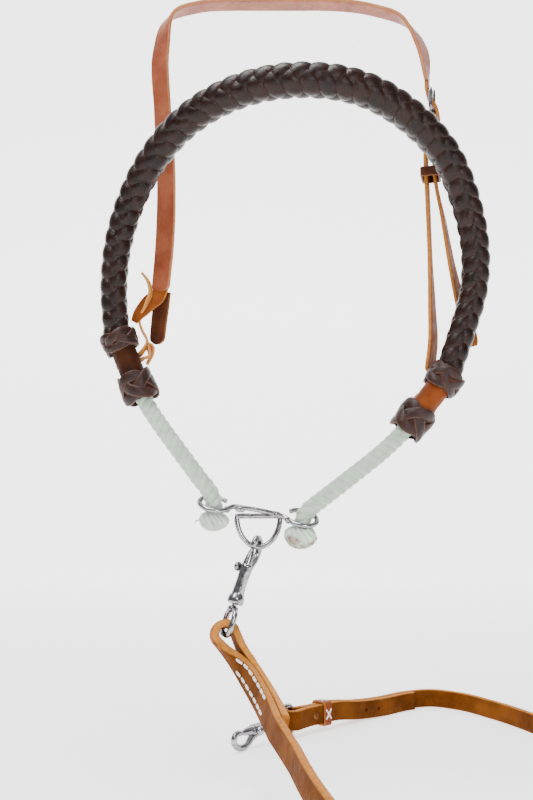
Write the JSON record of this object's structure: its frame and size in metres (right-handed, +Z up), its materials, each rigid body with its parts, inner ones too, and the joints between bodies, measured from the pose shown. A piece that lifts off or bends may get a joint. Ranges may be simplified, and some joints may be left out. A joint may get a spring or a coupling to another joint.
{
  "type": "bitless hackamore",
  "caption": "Bitless hackamore: leather headstall, braided rope-core noseband, wire curb hobble and a snapped-on leather rein lying on the floor.",
  "frame": {"origin": "middle of the crown strap's underside, where it rests on what holds the headstall up", "axes": "+Z up, +Y from the front (nose side) to the back, +X to the right seen from the front"},
  "size_m": [0.3994, 0.8124, 0.6004],
  "materials": {
    "crown_leather": "oiled russet harness leather",
    "cheek_leather": "oiled russet harness leather, worn edges",
    "flap_leather": "dark flesh side of the strap",
    "lace": "light oiled latigo lace",
    "braid": "dark brown flat-strand round braid, waxed",
    "knot": "dark red-brown rawhide-style Turk's head",
    "sleeve": "tan leather sleeve, darkened by handling",
    "rope": "white three-strand synthetic rope, melted ends",
    "nickel": "nickel plate, polished",
    "steel": "plain steel",
    "keeper": "dark leather loop",
    "rein": "glossy harness leather, light cut edges",
    "rein_keeper": "reddish leather band",
    "thread": "white waxed thread"
  },
  "bodies": {
    "root": {"crown_strap": "crown_leather", "billet_tail": "cheek_leather", "right_cheek_strap": "cheek_leather", "left_cheek_flap": "flap_leather", "buckle_frame": "nickel", "buckle_keeper": "keeper", "rein_near_run": "rein", "rein_coil": "rein", "rein_far_run": "rein", "rein_far_loop": "rein", "rein_screw_post": "steel", "rein_screw_cap": "steel"},
    "buckle_tongue": {"buckle_tongue": "nickel"},
    "noseband": {"noseband_cover": "braid", "core_rope": "rope", "sleeve_left": "sleeve", "sleeve_right": "sleeve", "knot_left_upper": "knot", "knot_left_lower": "knot", "knot_right_upper": "knot", "knot_right_lower": "knot", "rope_end_left": "rope", "rope_end_right": "rope", "left_lace": "lace", "right_lace": "lace", "hobble_bar": "nickel", "hobble_dee": "nickel", "near_snap_eye": "nickel", "rein_near_loop": "rein"},
    "near_snap": {"near_snap_body": "nickel", "near_snap_spring": "steel"},
    "near_bolt": {"near_snap_bolt": "nickel"},
    "far_eye": {"far_snap_eye": "nickel"},
    "far_snap": {"far_snap_body": "nickel", "far_snap_spring": "steel"},
    "far_bolt": {"far_snap_bolt": "nickel"},
    "rein_keeper": {"rein_keeper": "rein_keeper", "keeper_thread": "thread"}
  },
  "joints": [
    {"name": "noseband_swing", "type": "hinge", "parent": "root", "child": "noseband", "pos_m": [-0.00632, -0.018, -0.31025], "axis": [0.9929, 0, -0.1188], "range_deg": [0, 25]},
    {"name": "tongue_pivot", "type": "hinge", "parent": "root", "child": "buckle_tongue", "pos_m": [0.116, -0.008, -0.0935], "axis": [0.2425, 0.9701, 0], "range_deg": [0, 6]},
    {"name": "near_swivel", "type": "hinge", "parent": "noseband", "child": "near_snap", "pos_m": [-0.03877, -0.0376, -0.47526], "axis": [0.308, 0.1032, 0.9458], "range_deg": [-1, 20]},
    {"name": "near_bolt_slide", "type": "slide", "parent": "near_snap", "child": "near_bolt", "axis": [-0.308, -0.1032, -0.9458], "range_m": [0, 0.0065], "stiffness_N_per_m": 300, "springref_m": -0.004, "deforming": ["near_snap_spring"]},
    {"name": "far_eye_turn", "type": "hinge", "parent": "root", "child": "far_eye", "pos_m": [0.006, 0.082, -0.5832], "axis": [0, 0, 1], "range_deg": [-25, 25]},
    {"name": "far_swivel", "type": "hinge", "parent": "far_eye", "child": "far_snap", "pos_m": [-0.00847, 0.06477, -0.5832], "axis": [-0.6429, -0.7659, 0], "continuous": true},
    {"name": "far_bolt_slide", "type": "slide", "parent": "far_snap", "child": "far_bolt", "axis": [0.6429, 0.7659, 0], "range_m": [0, 0.0065], "stiffness_N_per_m": 300, "springref_m": -0.004, "deforming": ["far_snap_spring"]},
    {"name": "keeper_slide", "type": "slide", "parent": "root", "child": "rein_keeper", "axis": [0.7341, 0.6791, 0], "range_m": [-0.004, 0.006]}
  ]
}
